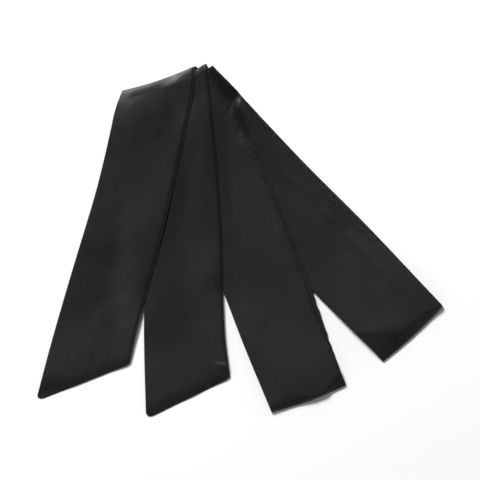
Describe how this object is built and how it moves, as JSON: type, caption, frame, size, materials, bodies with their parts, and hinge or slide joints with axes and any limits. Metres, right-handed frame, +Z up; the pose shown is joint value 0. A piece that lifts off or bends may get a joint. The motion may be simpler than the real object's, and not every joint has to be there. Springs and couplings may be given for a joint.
{
  "type": "satin sash, folded in a fan",
  "caption": "Plain black satin sash: a flat double strip with slanted ends, folded to and fro and fanned out flat from one rolled top corner.",
  "frame": {"origin": "middle of the fan's footprint, on the surface it lies on", "axes": "+X to the right across the fan, its longest extent; +Y towards the folded top where all limbs meet; +Z up, off the surface"},
  "size_m": [0.4053, 0.3523, 0.0096],
  "materials": {
    "black_satin": "fine smooth satin weave, near black, soft low sheen that brightens where the cloth rolls towards the light"
  },
  "bodies": {
    "root": {"s1_upper_tail": "black_satin", "s2_limb_4_under": "black_satin", "s3_limb_4_over": "black_satin", "s4_limb_3_under": "black_satin", "s5_limb_3_over": "black_satin", "s6_lower_tail": "black_satin"}
  },
  "joints": []
}
